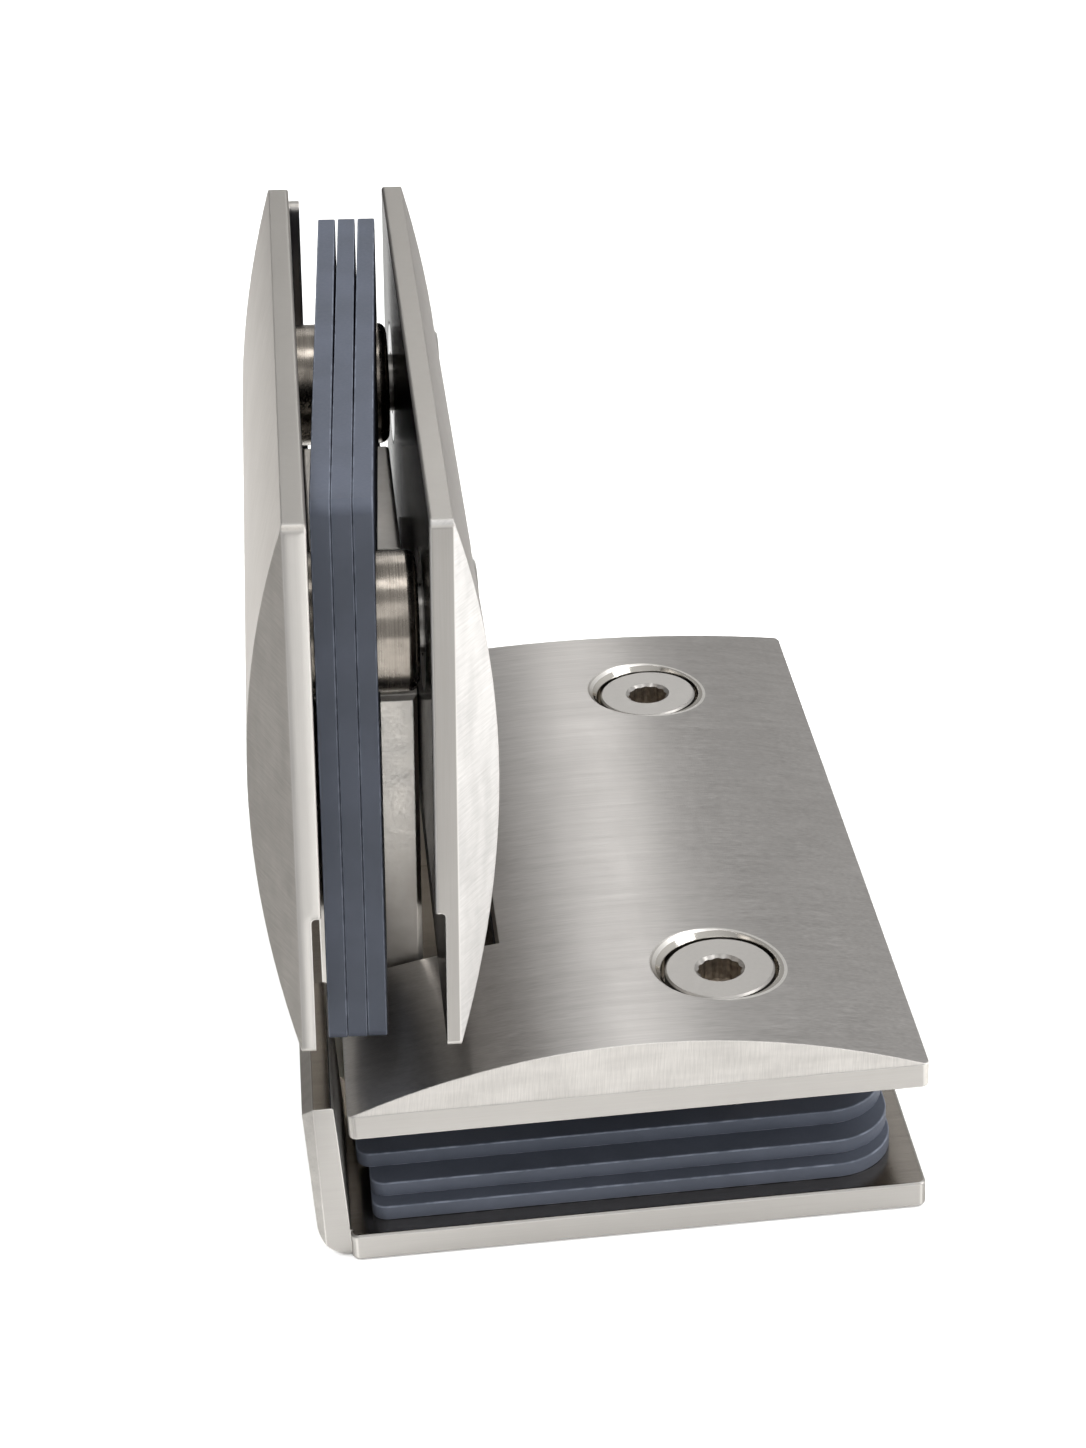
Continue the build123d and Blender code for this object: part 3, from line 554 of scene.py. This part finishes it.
def screw_pair_tree(steel, socket_shade):
    """Two equal clamp screws side by side: a profile turned round an axis, with a socket whose wall
    follows two hexagons laid across each other."""
    tree = bpy.data.node_groups.new("clamp_screw_pair", "GeometryNodeTree")
    for name in ("Head Radius", "Head Thickness", "Head Chamfer", "Shank Radius", "Shank Length",
                 "Socket Half", "Socket Depth", "Socket Flare", "Pitch", "Tilt"):
        tree.interface.new_socket(name=name, in_out="INPUT", socket_type="NodeSocketFloat")
    tree.interface.new_socket(name="Place", in_out="INPUT", socket_type="NodeSocketVector")
    tree.interface.new_socket(name="Screws", in_out="OUTPUT", socket_type="NodeSocketGeometry")
    size = add_node(tree, "NodeGroupInput").outputs

    # The profile's points, from the middle of the socket out over the head and down the shank.
    index = add_node(tree, "GeometryNodeInputIndex")
    row = add_node(tree, "ShaderNodeMath", {0: index, 1: PROFILE_POINTS},
                   operation="MODULO")
    column = add_node(tree, "ShaderNodeMath", {0: index, 1: PROFILE_POINTS},
                      operation="DIVIDE")
    column = add_node(tree, "ShaderNodeMath", {0: column}, operation="FLOOR")
    angle = add_node(tree, "ShaderNodeMath", {0: column, 1: math.tau / AROUND},
                     operation="MULTIPLY")

    hexagons = []
    for swing in (0.0, math.pi / 6):
        swung = add_node(tree, "ShaderNodeMath", {0: angle, 1: swing}, operation="ADD")
        within = add_node(tree, "ShaderNodeMath", {0: swung, 1: math.pi / 3},
                          operation="MODULO")
        within = add_node(tree, "ShaderNodeMath", {0: within, 1: math.pi / 6},
                          operation="SUBTRACT")
        cosine = add_node(tree, "ShaderNodeMath", {0: within}, operation="COSINE")
        hexagons.append(add_node(tree, "ShaderNodeMath", {0: size["Socket Half"], 1: cosine},
                                 operation="DIVIDE"))
    points = add_node(tree, "ShaderNodeMath", {0: hexagons[0], 1: hexagons[1]},
                      operation="MAXIMUM")
    dull_point = add_node(tree, "ShaderNodeMath", {0: size["Socket Half"], 1: BLUNT_POINT},
                          operation="MULTIPLY")
    socket_wall = add_node(tree, "ShaderNodeMath", {0: points, 1: dull_point},
                           operation="MINIMUM")
    flare_edge = add_node(tree, "ShaderNodeMath", {0: dull_point, 1: size["Socket Flare"]},
                          operation="ADD")
    head_flat = add_node(tree, "ShaderNodeMath", {0: size["Head Radius"], 1: size["Head Chamfer"]},
                         operation="SUBTRACT")
    shank_tip = add_node(tree, "ShaderNodeMath",
                         {0: size["Shank Radius"], 1: size["Head Chamfer"]}, operation="SUBTRACT")

    depths = {}
    for name in ("Socket Depth", "Socket Flare", "Head Chamfer", "Head Thickness"):
        depths[name] = add_node(tree, "ShaderNodeMath", {0: size[name], 1: -1.0},
                                operation="MULTIPLY")
    socket_point = add_node(tree, "ShaderNodeMath",
                            {0: depths["Socket Depth"], 1: size["Socket Flare"]},
                            operation="SUBTRACT")
    shank_end = add_node(tree, "ShaderNodeMath",
                         {0: depths["Head Thickness"], 1: size["Shank Length"]},
                         operation="SUBTRACT")
    tip_start = add_node(tree, "ShaderNodeMath", {0: shank_end, 1: size["Head Chamfer"]},
                         operation="ADD")
    radii = [0.0, socket_wall, socket_wall, flare_edge, head_flat, size["Head Radius"],
             size["Head Radius"], size["Shank Radius"], size["Shank Radius"], shank_tip, 0.0]
    heights = [socket_point, depths["Socket Depth"], depths["Socket Flare"], 0.0, 0.0,
               depths["Head Chamfer"], depths["Head Thickness"], depths["Head Thickness"],
               tip_start, shank_end, shank_end]
    picked = []
    for values in (radii, heights):
        pick = add_node(tree, "GeometryNodeIndexSwitch", data_type="FLOAT")
        while len(pick.index_switch_items) < PROFILE_POINTS:
            pick.index_switch_items.new()
        set_inputs(pick, {"Index": row, **{str(at): value for at, value in enumerate(values)}})
        picked.append(pick)
    across = []
    for operation in ("COSINE", "SINE"):
        part = add_node(tree, "ShaderNodeMath", {0: angle}, operation=operation)
        across.append(add_node(tree, "ShaderNodeMath", {0: part, 1: picked[0]},
                               operation="MULTIPLY"))
    point = add_node(tree, "ShaderNodeCombineXYZ", {"X": across[0], "Y": across[1], "Z": picked[1]})

    # The turned screw, its inside faces marked, stands twice on a line.
    grid = add_node(tree, "GeometryNodeMeshGrid",
                    {"Vertices X": AROUND + 1, "Vertices Y": PROFILE_POINTS})
    turned = add_node(tree, "GeometryNodeSetPosition", {"Geometry": grid, "Position": point})
    face_row = add_node(tree, "ShaderNodeMath", {0: index, 1: PROFILE_POINTS - 1},
                        operation="MODULO")
    low_row = add_node(tree, "FunctionNodeCompare", {0: face_row, 1: 1.5}, operation="LESS_THAN")
    marked = add_node(tree, "GeometryNodeStoreNamedAttribute",
                      {"Geometry": turned, "Name": "in_socket", "Value": low_row},
                      data_type="BOOLEAN", domain="FACE")
    closed = add_node(tree, "GeometryNodeMergeByDistance",
                      {"Geometry": marked, "Distance": WELD})
    half_back = add_node(tree, "ShaderNodeMath", {0: size["Pitch"], 1: -0.5},
                         operation="MULTIPLY")
    start = add_node(tree, "ShaderNodeCombineXYZ", {"Y": half_back})
    step = add_node(tree, "ShaderNodeCombineXYZ", {"Y": size["Pitch"]})
    line = add_node(tree, "GeometryNodeMeshLine",
                    {"Count": 2, "Start Location": start, "Offset": step})
    pair = add_node(tree, "GeometryNodeInstanceOnPoints", {"Points": line, "Instance": closed})
    tilt = add_node(tree, "ShaderNodeCombineXYZ", {"Y": size["Tilt"]})
    placed = add_node(tree, "GeometryNodeTransform",
                      {"Geometry": pair, "Translation": size["Place"], "Rotation": tilt})
    real = add_node(tree, "GeometryNodeRealizeInstances", {"Geometry": placed})
    plated = add_node(tree, "GeometryNodeSetMaterial", {"Geometry": real, "Material": steel})
    mark = add_node(tree, "GeometryNodeInputNamedAttribute", {"Name": "in_socket"},
                    data_type="BOOLEAN")
    # The socket's faces get the darker brown of painted shade.
    shaded_socket = add_node(tree, "GeometryNodeSetMaterial",
                         {"Geometry": plated, "Selection": mark, "Material": socket_shade})
    add_node(tree, "NodeGroupOutput", {"Screws": shaded_socket})
    return tree


def reach(node, direction):
    """How far a CAD node goes along a direction: its lowest and its highest place."""
    places = [direction.dot(vertex.co) for vertex in nodes[node].data.vertices]
    return min(places), max(places)


def clamp_screw_pair(name, body, grain, outward, tree):
    """The two clamp screws of one body, where its CAD screws are."""
    low, high = reach(f"{name}_screw_front", grain)
    head_top = reach(f"{name}_screw_front", outward)[1]
    values = {
        "Head Radius": 5.35 * MILLIMETRE,
        "Head Thickness": 2.2 * MILLIMETRE,
        "Head Chamfer": 0.2 * MILLIMETRE,
        "Shank Radius": 3.0 * MILLIMETRE,
        "Shank Length": 10.6 * MILLIMETRE,
        "Socket Half": 1.95 * MILLIMETRE,
        "Socket Depth": 2.6 * MILLIMETRE,
        "Socket Flare": 0.28 * MILLIMETRE,
        "Pitch": SCREW_PITCH,
        "Tilt": math.atan2(outward.x, outward.z),
        "Place": grain * (low + high) / 2 + outward * head_top,
    }
    blank = bpy.data.objects.new(f"{name}_screw_blank", bpy.data.meshes.new(f"{name}_blank"))
    scene.collection.objects.link(blank)
    maker = blank.modifiers.new("screws", "NODES")
    maker.node_group = tree
    for socket in tree.interface.items_tree:
        if socket.in_out == "INPUT":
            maker[socket.identifier] = values[socket.name]
    mesh = bpy.data.meshes.new_from_object(
        blank.evaluated_get(bpy.context.evaluated_depsgraph_get()))
    bpy.data.objects.remove(blank)
    turned = bmesh.new()
    turned.from_mesh(mesh)
    bmesh.ops.dissolve_degenerate(turned, edges=turned.edges, dist=WELD)
    bmesh.ops.recalc_face_normals(turned, faces=turned.faces)
    turned.to_mesh(mesh)
    turned.free()
    mesh.shade_smooth()
    mesh.set_sharp_from_angle(angle=CREASE_ANGLE)
    pair = bpy.data.objects.new(f"{name}_clamp_screws", mesh)
    scene.collection.objects.link(pair)
    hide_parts(f"{name}_screw_front", f"{name}_screw_rear")
    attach(pair, body)


screw_steel = faced_steel()
for end in ("front", "rear"):
    finish_node(f"fixed_screw_{end}", screw_steel)
    finish_node(f"door_screw_{end}", screw_steel)
screw_tree = screw_pair_tree(screw_steel, socket_painted_shade())
clamp_screw_pair("fixed", "fixed_clamp", FIXED_GRAIN, FIXED_OUTWARD, screw_tree)
clamp_screw_pair("door", "door_clamp", DOOR_GRAIN, DOOR_OUTWARD, screw_tree)

# Floor. A plain table top, pale and matt, just under the hinge. It goes on for metres, so that its
# end stays out of a view from the side.
floor_half = 12.0
floor_level = -0.1 * MILLIMETRE
floor_corners = [(x * floor_half, y * floor_half, floor_level)
                 for x, y in ((-1, -1), (1, -1), (1, 1), (-1, 1))]
floor_mesh = bpy.data.meshes.new("floor")
floor_mesh.from_pydata(floor_corners, [], [(0, 1, 2, 3)])
floor = bpy.data.objects.new("floor", floor_mesh)
scene.collection.objects.link(floor)
table_white, table_tree, table_surface, table_places = new_finish("table_white")
table_surface.inputs["Roughness"].default_value = 0.9
table_surface.inputs["Specular IOR Level"].default_value = 0.1
table_cloud = add_node(table_tree, "ShaderNodeTexNoise", {
    "Vector": table_places.outputs["Object"], "Scale": 1 / (60 * MILLIMETRE)})
table_colour = add_node(table_tree, "ShaderNodeMix", {
    "Factor": table_cloud, "A": linear("#f5f5f4"), "B": linear("#f8f8f7")}, data_type="RGBA")
set_inputs(table_surface, {"Base Color": table_colour})
floor_mesh.materials.append(table_white)

# Light. A grey room, lighter at the right and in front, with softboxes over the camera, overhead,
# behind and low at the right. Three lamps show in no reflection: two keep the floor white like a
# light table, and one lights the pads from the front.
room_level = 0.46
room_slope = (0.35, -0.15, 0.2)
hinge_middle = Vector((0.02, 0.0, 0.03))
world = bpy.data.worlds.new("room")
world.use_nodes = True
room = world.node_tree
room_places = add_node(room, "ShaderNodeTexCoord")
room_side = add_node(room, "ShaderNodeVectorMath",
                     {0: room_places.outputs["Generated"], 1: room_slope},
                     operation="DOT_PRODUCT")
room_light = add_node(room, "ShaderNodeMath", {0: room_side, 1: room_level}, operation="ADD")
set_inputs(room.nodes["Background"], {"Strength": room_light, "Color": linear("#ffffff")})
scene.world = world


def softbox(name, place, width, height, watts, reflected=True):
    """A rectangular soft light that shines at the middle of the hinge."""
    data = bpy.data.lights.new(name, "AREA")
    data.shape = "RECTANGLE"
    data.size = width
    data.size_y = height
    data.energy = watts
    lamp = bpy.data.objects.new(name, data)
    scene.collection.objects.link(lamp)
    lamp.location = place
    lamp.rotation_euler = (hinge_middle - Vector(place)).to_track_quat("-Z", "Y").to_euler()
    lamp.visible_glossy = reflected


softbox("softbox_front", (-0.1, -0.95, 0.92), 0.9, 0.55, 1.8)
softbox("softbox_side", (0.73, -0.29, 0.9), 0.5, 0.4, 2.6)
softbox("softbox_overhead", (0.0, -0.05, 1.2), 0.4, 0.3, 1.6)
softbox("softbox_behind", (0.13, 1.0, 0.72), 0.14, 0.6, 0.56)
softbox("softbox_right", (1.1, -0.45, 0.2), 0.4, 0.4, 4.0)
softbox("floor_lamp_right", (0.32, -0.02, 0.4), 0.3, 0.3, 1.2, reflected=False)
softbox("floor_lamp_left", (-0.35, 0.0, 0.45), 0.3, 0.3, 3.0, reflected=False)
softbox("pad_lamp_front", (0.2, -0.78, 0.36), 0.4, 0.3, 3.4, reflected=False)

# A grey card on the floor at the left shows only as a reflection, and gives the plates their shaded
# side.
card_level = 0.5 * MILLIMETRE
card_outline = ((-0.6, -0.35), (-0.008, -0.35), (-0.008, -0.05),
                (-0.035, -0.05), (-0.035, 0.03), (-0.6, 0.03))
card_mesh = bpy.data.meshes.new("shade_card")
card_mesh.from_pydata([(x, y, card_level) for x, y in card_outline], [],
                      [tuple(range(len(card_outline)))])
card = bpy.data.objects.new("shade_card", card_mesh)
scene.collection.objects.link(card)
grey_card, _, card_surface, _ = new_finish("grey_card")
card_surface.inputs["Base Color"].default_value = linear("#9c9c9c")
card_surface.inputs["Roughness"].default_value = 0.9
card_mesh.materials.append(grey_card)
card.visible_camera = False
card.visible_diffuse = False
card.visible_shadow = False

# Plain sRGB, so that the white floor stays white.
scene.view_settings.view_transform = "Standard"
